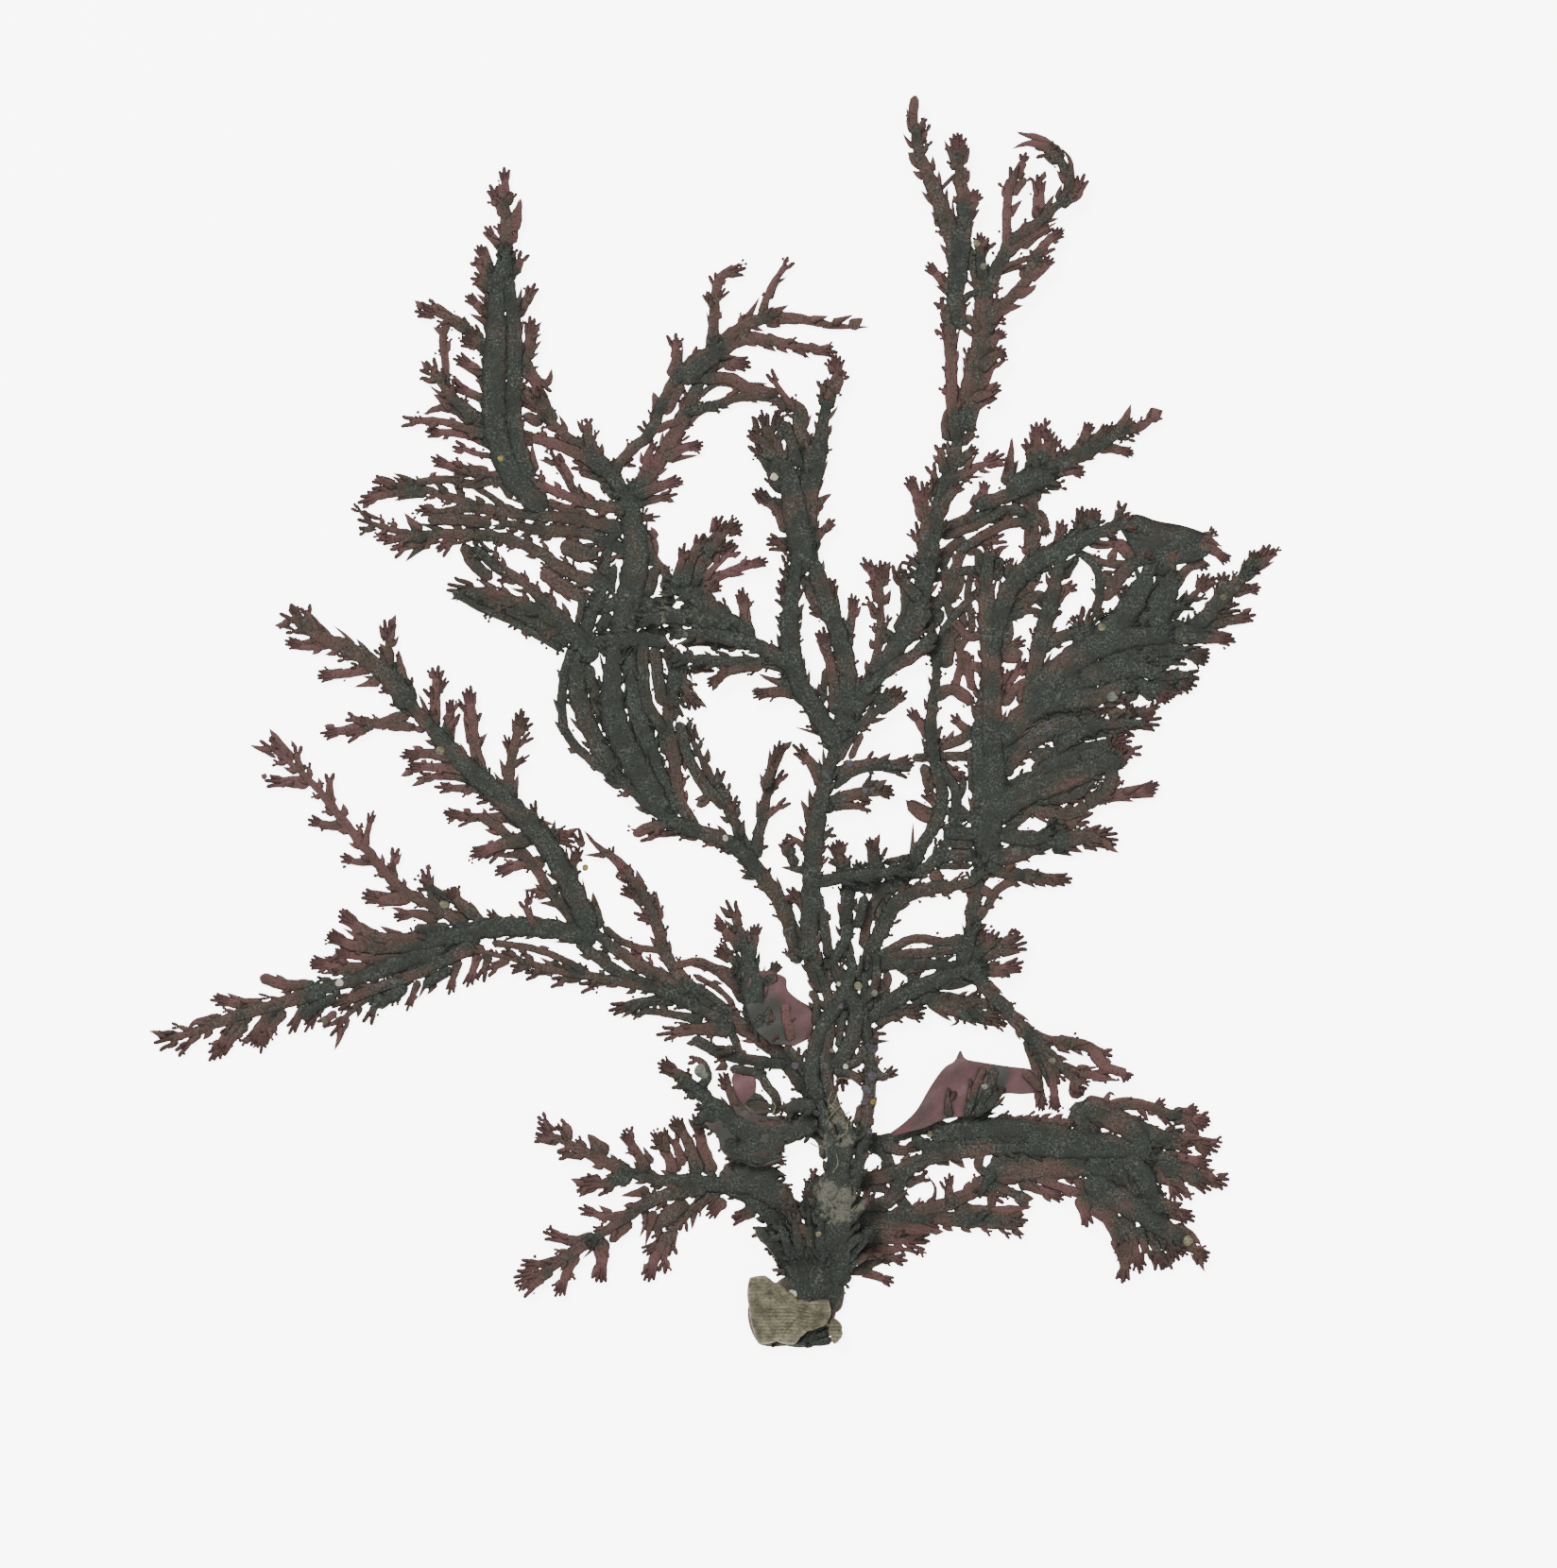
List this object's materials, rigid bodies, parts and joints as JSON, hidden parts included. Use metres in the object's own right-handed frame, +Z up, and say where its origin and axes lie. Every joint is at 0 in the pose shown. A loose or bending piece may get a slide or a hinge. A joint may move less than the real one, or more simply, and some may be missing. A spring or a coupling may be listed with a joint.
{
  "type": "pressed seaweed specimen",
  "caption": "Flat, dried red seaweed with a crusted holdfast, a stem bundle and feathery branched fronds fanned out on one plane.",
  "frame": {"origin": "underside of the holdfast, where the plant rests", "axes": "+Y from the holdfast towards the frond tips, +Z up out of the plane the plant lies on"},
  "size_m": [0.1016, 0.1128, 0.0027],
  "materials": {
    "dried_stem": "dry matt dark slate-green stem",
    "dried_frond": "dry dark brown-green frond",
    "dried_tips": "dry maroon-brown frond",
    "red_membrane": "thin satin red membrane",
    "dark_membrane": "thin dark grey-maroon membrane",
    "bryozoan": "chalky olive-grey crust"
  },
  "bodies": {
    "root": {"holdfast_stems": "dried_stem", "bryozoan_crust": "bryozoan", "frond_south_west": "dried_tips", "frond_south_east": "dried_frond", "frond_west": "dried_frond", "frond_north_west": "dried_frond", "frond_north_east": "dried_tips", "frond_north": "dried_frond", "frond_east": "dried_frond", "dark_blade": "dark_membrane", "red_spray": "dark_membrane", "red_blade": "red_membrane"}
  },
  "joints": []
}
